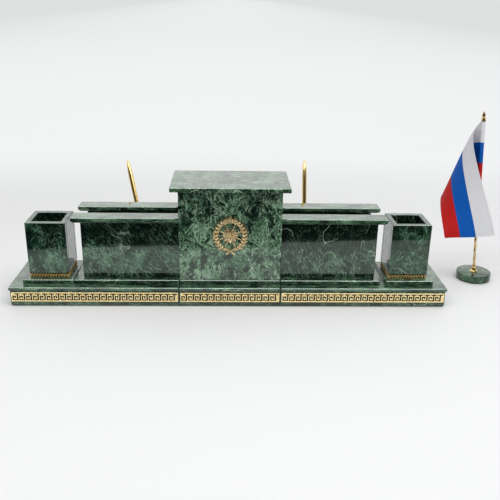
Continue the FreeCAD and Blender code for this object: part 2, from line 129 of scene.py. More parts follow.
def joinPieces(pieces, name):
    pick(*pieces)
    bpy.ops.object.join()
    return namePiece(bpy.context.object, name)


def turnedPiece(name, outline, steps):
    clearSelection()  # one vertex is drawn out along the outline of (radius, height) and spun about Z
    bpy.ops.mesh.primitive_plane_add(size=mm)
    piece = namePiece(bpy.context.object, name)
    openEdit(piece)
    bpy.ops.mesh.merge(type="CENTER")
    here = Vector((0, 0, 0))
    for number, (radius, height) in enumerate(outline):
        there = Vector((radius * mm, 0, height * mm))
        if number == 0:
            bpy.ops.transform.translate(value=there - here)
        else:
            bpy.ops.mesh.extrude_vertices_move(TRANSFORM_OT_translate={"value": there - here})
        here = there
    bpy.ops.mesh.select_all(action="SELECT")
    bpy.ops.mesh.spin(steps=steps, angle=math.tau, center=(0, 0, 0), axis=(0, 0, 1))
    bpy.ops.mesh.select_all(action="SELECT")
    bpy.ops.mesh.remove_doubles(threshold=touching)
    bpy.ops.mesh.normals_make_consistent(inside=False)
    bpy.ops.object.mode_set(mode="OBJECT")
    smoothPiece(piece)
    return piece


def dress(piece, material, body=None, replaces=()):
    piece.data.materials.clear()
    piece.data.materials.append(material)
    if body:
        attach(piece, body)
    if replaces:
        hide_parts(*replaces)


# Shader maths: a wrapped socket takes part in plain expressions

class Wire:
    def __init__(self, finish, socket):
        self.finish = finish
        self.socket = socket

    def math(self, operation, *others):
        return self.finish.add("ShaderNodeMath", {"operation": operation}, dict(enumerate((self, *others))))

    def reflected(self, operation, other):
        return self.finish.add("ShaderNodeMath", {"operation": operation}, {0: other, 1: self})

    def __add__(self, other):
        return self.math("ADD", other)

    def __radd__(self, other):
        return self.reflected("ADD", other)

    def __sub__(self, other):
        return self.math("SUBTRACT", other)

    def __rsub__(self, other):
        return self.reflected("SUBTRACT", other)

    def __mul__(self, other):
        return self.math("MULTIPLY", other)

    def __rmul__(self, other):
        return self.reflected("MULTIPLY", other)

    def __pow__(self, other):
        return self.math("POWER", other)

    def __abs__(self):
        return self.math("ABSOLUTE")

    def clamp(self):
        return self.math("MAXIMUM", 0.0).math("MINIMUM", 1.0)


class Finish:
    def __init__(self, target):
        self.target = target
        self.target.use_nodes = True
        self.tree = target.node_tree
        self.tree.nodes.clear()

    def add(self, kind, settings=None, inputs=None, output=0):
        node = self.tree.nodes.new(kind)
        for key, value in (settings or {}).items():
            if key == "stops":
                ramp = node.color_ramp
                while len(ramp.elements) < len(value):
                    ramp.elements.new(0.5)
                for element, (place, colour) in zip(ramp.elements, value):
                    element.position = place
                    element.color = (*colour, 1.0)
            else:
                setattr(node, key, value)
        for key, value in (inputs or {}).items():
            if isinstance(value, Wire):
                self.tree.links.new(value.socket, node.inputs[key])
            else:
                node.inputs[key].default_value = value
        return Wire(self, node.outputs[output]) if node.outputs else node

    def place(self, shift=(0, 0, 0), stretch=(1, 1, 1), source="Object"):
        coordinates = self.add("ShaderNodeTexCoord", output=source)
        return self.add("ShaderNodeMapping", None, {
            "Vector": coordinates, "Location": shift, "Scale": stretch})

    def axis(self, where, letter):
        return self.add("ShaderNodeSeparateXYZ", None, {0: where}, letter)

    def noise(self, where, scale, detail, rough, output="Fac"):
        return self.add("ShaderNodeTexNoise", None, {
            "Vector": where, "Scale": scale, "Detail": detail, "Roughness": rough}, output)

    def smooth(self, value, low, high, start=0.0):
        return self.add("ShaderNodeMapRange", {"interpolation_type": "SMOOTHSTEP"}, {
            "Value": value, "From Min": low, "From Max": high, "To Min": start, "To Max": 1.0})

    def ramp(self, value, stops):
        return self.add("ShaderNodeValToRGB", {"stops": stops}, {0: value})

    def vector(self, operation, *values):
        return self.add("ShaderNodeVectorMath", {"operation": operation}, dict(enumerate(values)))

    def mix(self, factor, first, second, way="MIX"):
        first, second = ((*c, 1.0) if isinstance(c, tuple) else c for c in (first, second))
        return self.add("ShaderNodeMix", {"data_type": "RGBA", "blend_type": way},
                        {0: factor, 6: first, 7: second}, 2)  # the node's colour sockets

    def shade(self, colour, tone, darkest, low=0.0, high=1.0):
        # the colour is darkened where the tone is low
        grey = self.ramp(tone, [(low, (darkest,) * 3), (high, (1.0, 1.0, 1.0))])
        return self.mix(1.0, colour, grey, "MULTIPLY")

    def bump(self, height, strength, distance):
        return self.add("ShaderNodeBump", None, {
            "Height": height, "Strength": strength, "Distance": distance})

    def surface(self, sockets):
        shader = self.add("ShaderNodeBsdfPrincipled", None, sockets)
        self.add("ShaderNodeOutputMaterial", None, {"Surface": shader})
        return self.target


def newFinish(name):
    return Finish(bpy.data.materials.new(name))


# Camera at the photograph's place and angle

cameraView = {"place": (-0.0033, -1.0557, 0.4838), "lens": 48.02, "sensor": 36.0, "farthest": 200.0,
              "pitch": 20.97, "yaw": 2.01, "roll": 1.03}


def placeCamera():
    lens = bpy.data.cameras.new("deskCamera")
    lens.lens = cameraView["lens"]
    lens.sensor_width = cameraView["sensor"]
    lens.clip_end = cameraView["farthest"]
    camera = bpy.data.objects.new("deskCamera", lens)
    bpy.context.scene.collection.objects.link(camera)
    yaw, tilt, roll = (math.radians(a) for a in (
        -cameraView["yaw"], 90 - cameraView["pitch"], cameraView["roll"]))
    turn = Matrix.Rotation(yaw, 4, "Z") @ Matrix.Rotation(tilt, 4, "X") @ Matrix.Rotation(roll, 4, "Z")
    camera.matrix_world = Matrix.Translation(cameraView["place"]) @ turn
    bpy.context.scene.camera = camera


placeCamera()
bpy.context.scene.view_settings.view_transform = "Standard"
print("camera placed")


# Green stone: mottled dark ground, short pale fibres, black spots, a few long veins, waxed polish

stoneColours = {
    "deep": (0.0014, 0.0062, 0.0040), "ground": (0.0060, 0.0235, 0.0140), "green": (0.0310, 0.0830, 0.0430),
    "pale": (0.1200, 0.2120, 0.1260), "vein": (0.5000, 0.6000, 0.5000),
}
stoneBase = {
    "apart": (0.371, 0.613, 0.229), "stretch": (1, 1, 1),  # each slab shows another place in the block
    "slowWave": 16.0, "slowBend": 0.030, "quickWave": 70.0, "quickBend": 0.008,
    "cloud": 24.0, "cloudShare": 0.55, "mottle": 85.0, "mottleShare": 0.45, "light": 0.0,
    "tones": {"deep": 0.40, "ground": 0.475, "green": 0.545, "pale": 0.64},
    # painted light from the white paper: the stone is made paler, with more pale fibres, near the floor
    "paperLightFrom": 0.100, "paperLightTo": 0.078, "foot": 0.0, "paperLightNeedles": 0.0,  # paler towards the foot
    "needle": (0.018, 0.0022, 0.0022), "needleFrom": 0.535, "needleSpan": 0.11, "needleGain": 0.70,
    "needleFade": (0.36, 0.52, 0.35), "fibre": (0.2300, 0.3700, 0.2400),  # fainter on the dark ground
    "lie": ((0, 48, 12), (0, -42, -18), (8, 84, 20)),
    "patch": 27.0, "patchStep": 6.0, "patchEdge": (0.38, 0.58),
    "spot": 64.0, "spotEdge": (0.56, 0.64), "spotGain": 0.85,
    "vein": 7.0, "veinThin": 220.0, "veinSharp": 1.5, "veinPatch": 21.0, "veinEdge": (0.44, 0.60),
    "veinGain": 0.6, "grain": 620.0, "grainEdge": (0.3, 0.7), "grainShade": 0.75,
    "gloss": 0.05, "glossVary": 0.06, "index": 1.56, "tint": (0.72, 1.0, 0.80, 1.0),
    "coat": 0.8, "coatNeedles": 0.25, "coatVary": 1.5, "coatRough": 0.03,
}
stoneLooks = {
    "tower": {"light": 0.012, "needleGain": 1.0, "needleFrom": 0.508, "fibre": (0.29, 0.45, 0.30),
              "spot": 80.0, "spotGain": 0.9, "needle": (0.021, 0.0021, 0.0021)},
    "mottled": {"light": -0.070, "needleGain": 0.72, "fibre": (0.165, 0.295, 0.205), "coat": 0.55,
                "foot": 0.055, "paperLightNeedles": 0.5},
    "dark": {"light": -0.145, "needleGain": 0.55, "veinGain": 0.7, "fibre": (0.190, 0.320, 0.225),
             "foot": 0.105, "paperLightNeedles": 2.2, "lie": ((0, 70, 10), (0, 100, -15), (5, 50, 20))},
    "slanted": {"light": -0.095, "needleGain": 0.66, "fibre": (0.180, 0.315, 0.215),
                "foot": 0.075, "paperLightNeedles": 1.2, "lie": ((0, 45, 10), (0, 60, -15), (5, 20, 20))},
    "streaked": {"light": 0.035, "stretch": (0.5, 1.5, 1.3), "lie": ((0, 4, 3), (0, -6, -5), (5, 30, 20))},
    "grey": {"light": 0.02, "needleGain": 0.95, "veinGain": 1.0, "spotGain": 0.5, "coat": 0.5},
    "slab": {"light": -0.01, "stretch": (0.65, 1, 1), "lie": ((0, 10, 3), (0, -12, -5), (5, 40, 20))},
    "disc": {"coat": 0.15},
}


def stoneNeedles(f, where, bent, look):
    # short pale fibres lying three ways, each way thick in patches of its own
    strongest = 0.0
    first, last = look["needleFrom"], look["needleFrom"] + look["needleSpan"]
    for number, turn in enumerate(look["lie"]):
        angles = tuple(math.radians(angle) for angle in turn)
        laid = f.add("ShaderNodeMapping", {"vector_type": "TEXTURE"}, {
            "Vector": bent, "Rotation": angles, "Scale": look["needle"]})
        fibre = f.smooth(f.noise(laid, 1.0, detail=3.0, rough=0.6), first, last)
        spread = f.noise(where, look["patch"] + look["patchStep"] * number, detail=2.0, rough=0.5)
        strongest = (fibre * f.smooth(spread, *look["patchEdge"])).math("MAXIMUM", strongest)
    return strongest


def stoneFinish(name, kind, number):
    look = {**stoneBase, **stoneLooks[kind]}
    f = newFinish(name)
    where = f.place(tuple(step * number for step in look["apart"]), look["stretch"])
    waves = f.noise(where, look["slowWave"], detail=2.0, rough=0.5, output="Color")
    slow = f.vector("MULTIPLY_ADD", waves, (look["slowBend"],) * 3, where)
    ripples = f.noise(where, look["quickWave"], detail=3.0, rough=0.55, output="Color")
    bent = f.vector("MULTIPLY_ADD", ripples, (look["quickBend"],) * 3, slow)

    cloud = f.noise(bent, look["cloud"], detail=7.0, rough=0.6)
    mottle = f.noise(bent, look["mottle"], detail=8.0, rough=0.68)
    # painted light: near the white paper the stone is made paler and its pale fibres stronger
    low = f.smooth(f.axis(f.place(), "Z"), look["paperLightFrom"], look["paperLightTo"])
    tone = cloud * look["cloudShare"] + mottle * look["mottleShare"] + look["light"] + low * look["foot"]
    colour = f.ramp(tone, [(place, stoneColours[shade]) for shade, place in look["tones"].items()])

    needles = stoneNeedles(f, where, bent, look) * f.smooth(tone, *look["needleFade"])
    needles = (needles * (low * look["paperLightNeedles"] + 1)).clamp()
    spot = f.smooth(f.noise(bent, look["spot"], detail=2.0, rough=0.5), *look["spotEdge"])
    crack = abs(f.noise(slow, look["vein"], detail=4.0, rough=0.5) - 0.5)
    line = (1 - crack * look["veinThin"]).clamp() ** look["veinSharp"]
    vein = line * f.smooth(f.noise(where, look["veinPatch"], detail=3.0, rough=0.5), *look["veinEdge"])
    colour = f.mix(needles * look["needleGain"], colour, look["fibre"])
    colour = f.mix(spot * look["spotGain"], colour, stoneColours["deep"])
    colour = f.mix(vein * look["veinGain"], colour, stoneColours["vein"])
    grain = f.noise(where, look["grain"], detail=2.0, rough=0.5)
    colour = f.shade(colour, grain, look["grainShade"], *look["grainEdge"])

    rough = mottle * look["glossVary"] + look["gloss"]
    wax = (needles * look["coatNeedles"] + (mottle - 0.5) * look["coatVary"] + look["coat"]).clamp()
    return f.surface({
        "Base Color": colour, "Roughness": rough, "IOR": look["index"], "Specular Tint": look["tint"],
        "Coat Weight": wax, "Coat Roughness": look["coatRough"]})


stoneNodes = {
    "tower": ["tower_front"],
    "mottled": ["left_cup_faces", "right_cup_faces", "left_cup_sides", "right_cup_sides",
                "tower_back", "left_pen_ledge", "right_pen_ledge"],
    "dark": ["right_rack_front", "right_rack_back", "tower_sides"],
    "slanted": ["left_rack_front", "left_rack_back"],
    "streaked": ["left_front_rail", "right_front_rail", "left_back_rail", "right_back_rail",
                 "left_plinth_top", "right_plinth_top", "centre_plinth_top"],
    "grey": ["tower_cap"],
    "slab": ["left_plinth", "centre_plinth", "right_plinth", "left_rack_plate", "right_rack_plate",
             "tower_plate", "left_cup_plate", "right_cup_plate", "left_cup_foot", "right_cup_foot",
             "left_cup_floor", "right_cup_floor"],
}
stoneEdge = {"width": 0.8, "segments": 1}
easing = {"flatUnder": 2.0, "easeOver": 60.0, "splitOver": 30.0}  # degrees between two faces


def easeNode(node, width, segments):
    # the node's loose triangles are closed up, then its edges are eased; the mesh itself stays as it is
    weld = node.modifiers.new("closed", "WELD")
    weld.merge_threshold = touching
    flat = node.modifiers.new("flatFaces", "DECIMATE")
    flat.decimate_type = "DISSOLVE"
    flat.angle_limit = math.radians(easing["flatUnder"])
    eased = node.modifiers.new("easedEdges", "BEVEL")
    eased.width = width * mm
    eased.segments = segments
    eased.limit_method = "ANGLE"
    eased.angle_limit = math.radians(easing["easeOver"])  # slopes that are there already stay crisp
    crisp = node.modifiers.new("crispEdges", "EDGE_SPLIT")
    crisp.split_angle = math.radians(easing["splitOver"])


def dressStone():
    number = 1
    for kind, names in stoneNodes.items():
        for name in names:
            dress(nodes[name], stoneFinish("stone_" + name, kind, number))
            easeNode(nodes[name], stoneEdge["width"], stoneEdge["segments"])
            number += 1


dressStone()
print("stone dressed")


# Brass and gold

brassBase = {"rough": 0.22, "vary": 0.10, "metal": 1.0, "wearEdge": (0.38, 0.62),
             "brush": 2600.0, "brushStretch": (0.06, 1, 1), "brushRough": 0.05, "brushBump": 0.06,
             "brushDepth": 0.02, "paint": (0.006, 0.006, 0.005), "paintRough": 0.4}
brassLooks = {
    "strip": {"pale": (1.0, 0.86, 0.47), "warm": (0.96, 0.74, 0.35), "scale": 160.0},
    "rope": {"pale": (0.86, 0.61, 0.24), "warm": (0.66, 0.43, 0.14), "scale": 240.0, "rough": 0.36,
             "metal": 0.45},
    # painted shade for the strip between the rope's strands
    "shade": {"pale": (0.20, 0.13, 0.05), "warm": (0.09, 0.055, 0.02), "scale": 240.0, "rough": 0.55},
    "gold": {"pale": (0.86, 0.64, 0.27), "warm": (0.76, 0.52, 0.19), "scale": 120.0, "rough": 0.07,
             "vary": 0.05},
    "pole": {"pale": (0.72, 0.53, 0.25), "warm": (0.55, 0.37, 0.15), "scale": 140.0, "rough": 0.16},
    "relief": {"pale": (1.0, 0.84, 0.50), "warm": (0.84, 0.62, 0.30), "scale": 260.0, "rough": 0.24,
               "vary": 0.12},
}


def brassFinish(name, kind, recess=None):
    look = {**brassBase, **brassLooks[kind]}
    f = newFinish(name)
    where = f.place()
    wear = f.noise(where, look["scale"], detail=5.0, rough=0.6)
    colour = f.mix(f.smooth(wear, *look["wearEdge"]), look["warm"], look["pale"])
    brushed = f.noise(f.place(stretch=look["brushStretch"]), look["brush"], detail=2.0, rough=0.5)
    rough = look["rough"] + (wear - 0.5) * look["vary"] + (brushed - 0.5) * look["brushRough"]
    metallic = look["metal"]
    if recess:
        # black paint in the hollows
        hollow = f.smooth(f.axis(where, "Y"), *recess)
        colour = f.mix(hollow, colour, look["paint"])
        rough = rough + hollow * look["paintRough"]
        metallic = 1 - hollow
    relief = f.bump(brushed, look["brushBump"], look["brushDepth"] * mm)
    return f.surface({"Base Color": colour, "Roughness": rough, "Metallic": metallic, "Normal": relief})


keyStrip = {"edge": 0.12, "segments": 1, "paintFrom": -57.02, "paintTo": -56.85}
penFitting = {"edge": 0.15, "segments": 2}


def dressStrips():
    finish = brassFinish("keyBrass", "strip", (keyStrip["paintFrom"] * mm, keyStrip["paintTo"] * mm))
    for side in ("left", "centre", "right"):
        strip = nodes[side + "_key_strip"]
        dress(strip, finish)
        easeNode(strip, keyStrip["edge"], keyStrip["segments"])


def dressFittings(finish):
    for part in ("fork", "pin", "refill"):
        for side in ("left", "right"):
            fitting = nodes[side + "_pen_" + part]
            dress(fitting, finish)
            easeNode(fitting, penFitting["edge"], penFitting["segments"])


dressStrips()
goldFinish = brassFinish("penGold", "gold")
dressFittings(goldFinish)
print("strips and pen fittings dressed")


# Felt under the stone

felt = {"dark": (0.006, 0.016, 0.010), "light": (0.022, 0.050, 0.032), "fibre": 1500.0, "fibreShare": 0.6,
        "tuft": 90.0, "tuftShare": 0.4, "rough": 0.95, "bump": 0.5, "nap": 0.2}


def feltFinish(name):
    f = newFinish(name)
    where = f.place()
    fibre = f.noise(where, felt["fibre"], detail=5.0, rough=0.7)
    tuft = f.noise(where, felt["tuft"], detail=3.0, rough=0.5)
    colour = f.mix(fibre * felt["fibreShare"] + tuft * felt["tuftShare"], felt["dark"], felt["light"])
    return f.surface({"Base Color": colour, "Roughness": felt["rough"],
                      "Normal": f.bump(fibre, felt["bump"], felt["nap"] * mm)})


feltGreen = feltFinish("felt")
for name in ("base_felts", "flag_felt"):
    dress(nodes[name], feltGreen)
print("felt dressed")


# Swivel pens: turned foot, funnel, barrel and cap

penStand = {"back": 112.0, "level": 33.8, "pivot": 23.8, "left": {"x": -158.5, "tilt": 30.7, "turn": 26.5},
            "right": {"x": 138.3, "tilt": 28.0, "turn": -1.9}}
penShape = {
    "foot": [(0, 0), (13.0, 0), (13.0, 2.6), (12.3, 3.4), (10.6, 3.9), (9.0, 4.9), (8.0, 6.3), (7.5, 8.2),
             (7.5, 10.0), (0, 10.0)],
    "funnel": [(0, 8.0), (5.0, 8.0), (5.55, 8.8), (5.55, 27.0), (5.62, 31.0), (5.9, 35.0), (6.5, 39.0),
               (7.5, 42.6), (8.6, 44.6), (8.6, 45.6), (8.2, 46.0), (7.4, 45.2), (6.2, 42.0), (5.3, 38.0),
               (4.65, 33.0), (4.65, 13.6), (1.2, 13.6), (1.2, 9.2), (0, 9.2)],
    "barrel": [(0.8, 13.9), (1.2, 13.9), (2.2, 17.0), (3.2, 22.0), (3.9, 28.0), (4.2, 34.0), (4.2, 79.6),
               (3.9, 79.9), (3.2, 79.9), (3.2, 88.6), (3.0, 88.9), (1.45, 88.9), (1.45, 25.65),
               (0.8, 25.65), (0.8, 13.9)],
    "cap": [(0, 113.15), (1.45, 113.15), (1.45, 89.2), (3.25, 89.2), (3.25, 80.2), (4.1, 80.2),
            (4.35, 80.5), (4.35, 118.0), (4.28, 125.0), (4.0, 132.0), (3.5, 138.0), (2.85, 143.5),
            (2.1, 148.2), (1.3, 151.2), (0.7, 151.8), (0, 151.9)],
    "steps": 96,
}
penTongue = {"radius": 5.0, "thick": 7.6, "top": 10.5, "sides": 48, "edge": 0.3, "segments": 2,
             "easeOver": 50}


def penMatrix(side, leaned):
    place = penStand[side]
    upright = Matrix.Translation(Vector((place["x"], penStand["back"], penStand["level"])) * mm)
    upright = upright @ Matrix.Rotation(math.radians(place["turn"]), 4, "Z")
    if not leaned:
        return upright
    return upright @ Matrix.Translation((0, 0, penStand["pivot"] * mm)) @ Matrix.Rotation(
        math.radians(-place["tilt"]), 4, "X")


def funnelTongue():
    # flat lug under the funnel with a round end about the pin; its upper half is drawn up to one level
    clearSelection()
    bpy.ops.mesh.primitive_cylinder_add(
        vertices=penTongue["sides"], radius=penTongue["radius"] * mm, depth=penTongue["thick"] * mm,
        rotation=(0, math.radians(90), 0))
    tongue = settle(namePiece(bpy.context.object, "tongue"))
    openEdit(tongue)
    chooseVerts(tongue, lambda co: co.z > touching)
    bpy.ops.transform.resize(value=(1, 1, 0), center_override=(0, 0, penTongue["top"] * mm))
    bpy.ops.object.mode_set(mode="OBJECT")
    softenEdges(tongue, penTongue["edge"] * mm, penTongue["segments"], penTongue["easeOver"])
    smoothPiece(tongue)
    return tongue


def makePens():
    for side in ("left", "right"):
        bodies = {"foot": "desk_set", "funnel": side + "_funnel", "barrel": side + "_pen",
                  "cap": side + "_pen_top"}
        for part, body in bodies.items():
            piece = turnedPiece(side + "_turned_" + part, penShape[part], penShape["steps"])
            if part == "funnel":
                piece = joinPieces([piece, funnelTongue()], piece.name)
            settle(piece, penMatrix(side, part != "foot"))
            dress(piece, goldFinish, body, [side + "_pen_" + part])


makePens()
print("pens turned")


# Flag stand: stone disc, dome ferrule, twisted staff, bud finial

stand = {"x": 450.0, "y": 68.5, "level": 14.0, "lean": 4.35, "radius": 30.3, "felt": 1.0, "sides": 160,
         "edge": 0.9, "segments": 4, "stone": 61}
staff = {"radius": 2.5, "corner": 2.85, "round": 0.95, "segments": 3, "foot": -9.0, "twistFrom": 11.0,
         "twistTo": 174.0, "turns": -2.05, "top": 281.3, "cuts": 180, "shoulder": 1.0, "neck": 0.8,
         "lap": 1.5, "steps": 48}
ferrule = {
    "outline": [(2.55, 0.0), (6.4, 0.0), (6.6, 0.4), (6.4, 1.0), (5.5, 1.8), (4.6, 3.0), (3.95, 4.6),
                (3.5, 6.6), (3.2, 9.0), (3.1, 11.4), (2.9, 11.9), (2.55, 12.0), (2.55, 0.0)],
    "steps": 72,
}
finial = {
    "outline": [(0, 276.2), (3.2, 276.2), (3.9, 276.6), (4.1, 277.5), (3.9, 278.4), (3.3, 278.9),
                (2.9, 279.3), (3.3, 279.7), (3.9, 280.1), (4.0, 280.8), (3.6, 281.6), (2.7, 282.0),
                (2.2, 282.5), (2.2, 283.1), (2.6, 283.9), (2.85, 285.0), (2.85, 286.2), (2.6, 287.5),
                (2.1, 289.0), (1.4, 290.6), (0.75, 291.9), (0.3, 292.8), (0, 293.2)],
    "steps": 64,
}
standMatrix = Matrix.Translation(Vector((stand["x"], stand["y"], stand["level"])) * mm) @ Matrix.Rotation(
    math.radians(-stand["lean"]), 4, "Y")


def makeDisc():
    clearSelection()
    low, high = stand["felt"], stand["level"]
    bpy.ops.mesh.primitive_cylinder_add(
        vertices=stand["sides"], radius=stand["radius"] * mm, depth=(high - low) * mm,
        location=Vector((stand["x"], stand["y"], (low + high) / 2)) * mm)
    disc = settle(namePiece(bpy.context.object, "stone_disc"))
    openEdit(disc)
    chooseEdges(disc, level=True)
    bpy.ops.mesh.bevel(offset=stand["edge"] * mm, segments=stand["segments"], affect="EDGES")
    bpy.ops.object.mode_set(mode="OBJECT")
    smoothPiece(disc)
    finish = stoneFinish("stone_disc", "disc", stand["stone"])
    dress(disc, finish, "flag_stand", ["flag_base"])


def makeStaff():
    clearSelection()
    low, high = staff["twistFrom"], staff["twistTo"]
    bpy.ops.mesh.primitive_cube_add(size=1)
    square = namePiece(bpy.context.object, "staff_square")
    side = staff["corner"] * math.sqrt(2) * mm
    square.scale = (side, side, (high - low) * mm)
    settle(square)
    openEdit(square)
    chooseEdges(square, level=False)
    bpy.ops.mesh.bevel(offset=staff["round"] * mm, segments=staff["segments"], affect="EDGES")
    chooseEdges(square, level=False)
    bpy.ops.mesh.subdivide(number_cuts=staff["cuts"])
    bpy.ops.object.mode_set(mode="OBJECT")
    applyModifier(square, "SIMPLE_DEFORM", deform_method="TWIST", deform_axis="Z",
                  angle=math.tau * staff["turns"])
    settle(square, Matrix.Translation((0, 0, (low + high) / 2 * mm)))

    # plain round ends that narrow into the twist
    radius, neck = staff["radius"], staff["radius"] - staff["neck"]
    lower = turnedPiece("staff_foot", [
        (0, staff["foot"]), (radius, staff["foot"]), (radius, low - staff["shoulder"]),
        (neck, low + staff["lap"]), (0, low + staff["lap"])], staff["steps"])
    upper = turnedPiece("staff_head", [
        (0, high - staff["lap"]), (neck, high - staff["lap"]), (radius, high + staff["shoulder"]),
        (radius, staff["top"]), (0, staff["top"])], staff["steps"])
    rod = joinPieces([square, lower, upper], "twisted_staff")
    smoothPiece(rod, angle=40)
    return settle(rod, standMatrix)


def makeFlagStand():
    makeDisc()
    brass = brassFinish("staffBrass", "pole")
    dress(makeStaff(), brass, "flag_staff", ["flag_pole"])
    bud = settle(turnedPiece("bud_finial", finial["outline"], finial["steps"]), standMatrix)
    dress(bud, brass, "flag_staff", ["flag_finial"])
    dome = settle(turnedPiece("dome_ferrule", ferrule["outline"], ferrule["steps"]), standMatrix)
    dress(dome, goldFinish, "flag_stand", ["flag_ferrule"])


makeFlagStand()
print("flag stand made")


# Flag: one cloth wrapped round the staff and sewn, out behind it, over one fold and down in front

flag = {
    "hoist": 108.0, "fly": 205.0, "wrap": 3.25, "wrapAngle": 340.0, "top": 275.9,
    "thick": 0.35, "alongCuts": 150, "acrossCuts": 60,
    # places in the staff's own frame (across, behind, drop): upper hem, two stripe lines, lower hem
    "fold": [(-12.2, 4.0, 12.8), (-23.8, 22.0, 51.0), (-38.4, 34.0, 98.0), (-53.1, 42.0, 140.8)],
    "end": [(16.6, -44.0, 191.5), (-13.7, -38.0, 195.0), (-39.6, -32.0, 196.0), (-65.0, -26.0, 197.6)],
    "view": (0.323, 0.918, -0.227), "left": (-0.943, 0.332, 0.0), "endHeading": (0.15, -0.10, -1.0),
    # how the threads turn at the fold, leave it, arrive at the free end, and hang behind
    "foldStep": 0.01, "foldSlope": 0.66, "foldForward": 0.75, "frontLeave": 0.5, "frontArrive": 0.8,
    "frontCuts": 120, "backLeave": 0.9, "backArrive": 0.7, "backBulge": 0.4, "backCuts": 80, "wrapCuts": 40,
    "deepest": 400.0, "trials": 24,
}
satin = {
    "white": (0.70, 0.70, 0.73), "blue": (0.003, 0.095, 0.43), "red": (0.50, 0.012, 0.010),
    "redEdge": (0.3305, 0.3355), "whiteEdge": (0.6640, 0.6690),  # shares of the hoist from below
    "weft": 420.0, "weftStretch": (1, 14, 1), "sheen": 7.0, "sheenStretch": (2.0, 1.0, 1),
    "tone": 0.87, "weftTone": 0.16, "sheenTone": 0.10, "hemTone": 0.10, "hemIn": (0.462, 0.466),
    "hemOut": (0.474, 0.470), "rough": 0.40, "weftRough": 0.12, "gloss": 0.12, "bump": 0.25, "thread": 0.08,
}


def through(table, share):
    # smooth line through a few places, evenly spaced
    total = Vector((0, 0, 0))
    for number, place in enumerate(table):
        weight = 1.0
        for other in range(len(table)):
            if other != number:
                weight *= (share * (len(table) - 1) - other) / (number - other)
        total += Vector(place) * weight
    return total


def hermite(start, heading, end, arrival, count):
    # curve that leaves along one heading and arrives along another
    points = []
    for number in range(count + 1):
        t = number / count
        points.append(start * (2 * t ** 3 - 3 * t ** 2 + 1) + heading * (t ** 3 - 2 * t ** 2 + t)
                      + end * (3 * t ** 2 - 2 * t ** 3) + arrival * (t ** 3 - t ** 2))
    return points


def lineLength(points):
    return sum((b - a).length for a, b in zip(points, points[1:]))


def roundStaff(angle, drop):
    # place on the part of the cloth that is wrapped round the staff
    return Vector((math.cos(angle) * flag["wrap"], math.sin(angle) * flag["wrap"], -drop))


def flagThread(share):
    # one thread of the cloth from the staff to the free end, at that share of the hoist from the top
    drop = share * flag["hoist"]
    fold, end = (through(flag[name], share) for name in ("fold", "end"))
    ahead, behind = (through(flag["fold"], share + step) for step in (flag["foldStep"], -flag["foldStep"]))
    for place in (fold, end, ahead, behind):
        place.z = -place.z
    view, left = Vector(flag["view"]), Vector(flag["left"])
    turn = ((ahead - behind).normalized() * flag["foldSlope"] - view * flag["foldForward"]).normalized()
    down = Vector(flag["endHeading"]).normalized()
    fall = (end - fold).length
    front = hermite(fold, turn * (fall * flag["frontLeave"]), end, down * (fall * flag["frontArrive"]),
                    flag["frontCuts"])
    reach = (fold - Vector((0, 0, -drop))).length
    low, high = 0.0, flag["deepest"]
    for trial in range(flag["trials"]):  # the spare length lies behind the front fall, out of its sight
        depth = (low + high) / 2
        out = left * (reach * flag["backLeave"]) + view * depth
        seam = math.atan2(out.y, out.x) - math.pi / 2
        arrival = turn * (reach * flag["backArrive"] + depth * flag["backBulge"])
        back = hermite(roundStaff(seam, drop), out, fold, arrival, flag["backCuts"])
        if lineLength(back) + lineLength(front) < flag["fly"]:
            low = depth
        else:
            high = depth
    sweep = math.radians(flag["wrapAngle"])
    wrap = [roundStaff(seam - sweep * (1 - number / flag["wrapCuts"]), drop)
            for number in range(flag["wrapCuts"])]
    return wrap + back + front[1:]


def evenly(points, count):
    # places at equal steps along the line
    lengths = [0.0]
    for a, b in zip(points, points[1:]):
        lengths.append(lengths[-1] + (b - a).length)
    spread, index = [], 0
    for number in range(count + 1):
        wanted = lengths[-1] * number / count
        while index < len(points) - 2 and lengths[index + 1] < wanted:
            index += 1
        gap = lengths[index + 1] - lengths[index]
        share = 0.0 if gap < 1e-9 else min(1.0, max(0.0, (wanted - lengths[index]) / gap))
        spread.append(points[index].lerp(points[index + 1], share))
    return spread


def flagFinish():
    f = newFinish("flagSatin")
    across = f.axis(f.add("ShaderNodeTexCoord", output="UV"), "Y")
    weave = f.place(stretch=satin["weftStretch"], source="UV")
    weft = f.noise(weave, satin["weft"], detail=2.0, rough=0.5)
    # painted sheen: broad patches of the cloth's colour are made lighter and darker
    gleam = f.place(stretch=satin["sheenStretch"], source="UV")
    sheen = f.noise(gleam, satin["sheen"], detail=3.0, rough=0.5)
    colour = f.mix(f.smooth(across, *satin["redEdge"]), satin["red"], satin["blue"])
    colour = f.mix(f.smooth(across, *satin["whiteEdge"]), colour, satin["white"])
    tone = weft * satin["weftTone"] + sheen * satin["sheenTone"] + satin["tone"]
    out = abs(across - 0.5)
    tone = tone - f.smooth(out, *satin["hemIn"]) * f.smooth(out, *satin["hemOut"]) * satin["hemTone"]
    colour = f.shade(colour, tone, 0.0)
    rough = weft * satin["weftRough"] + satin["rough"]
    return f.surface({"Base Color": colour, "Roughness": rough, "Specular IOR Level": satin["gloss"],
                      "Normal": f.bump(weft, satin["bump"], satin["thread"] * mm)})


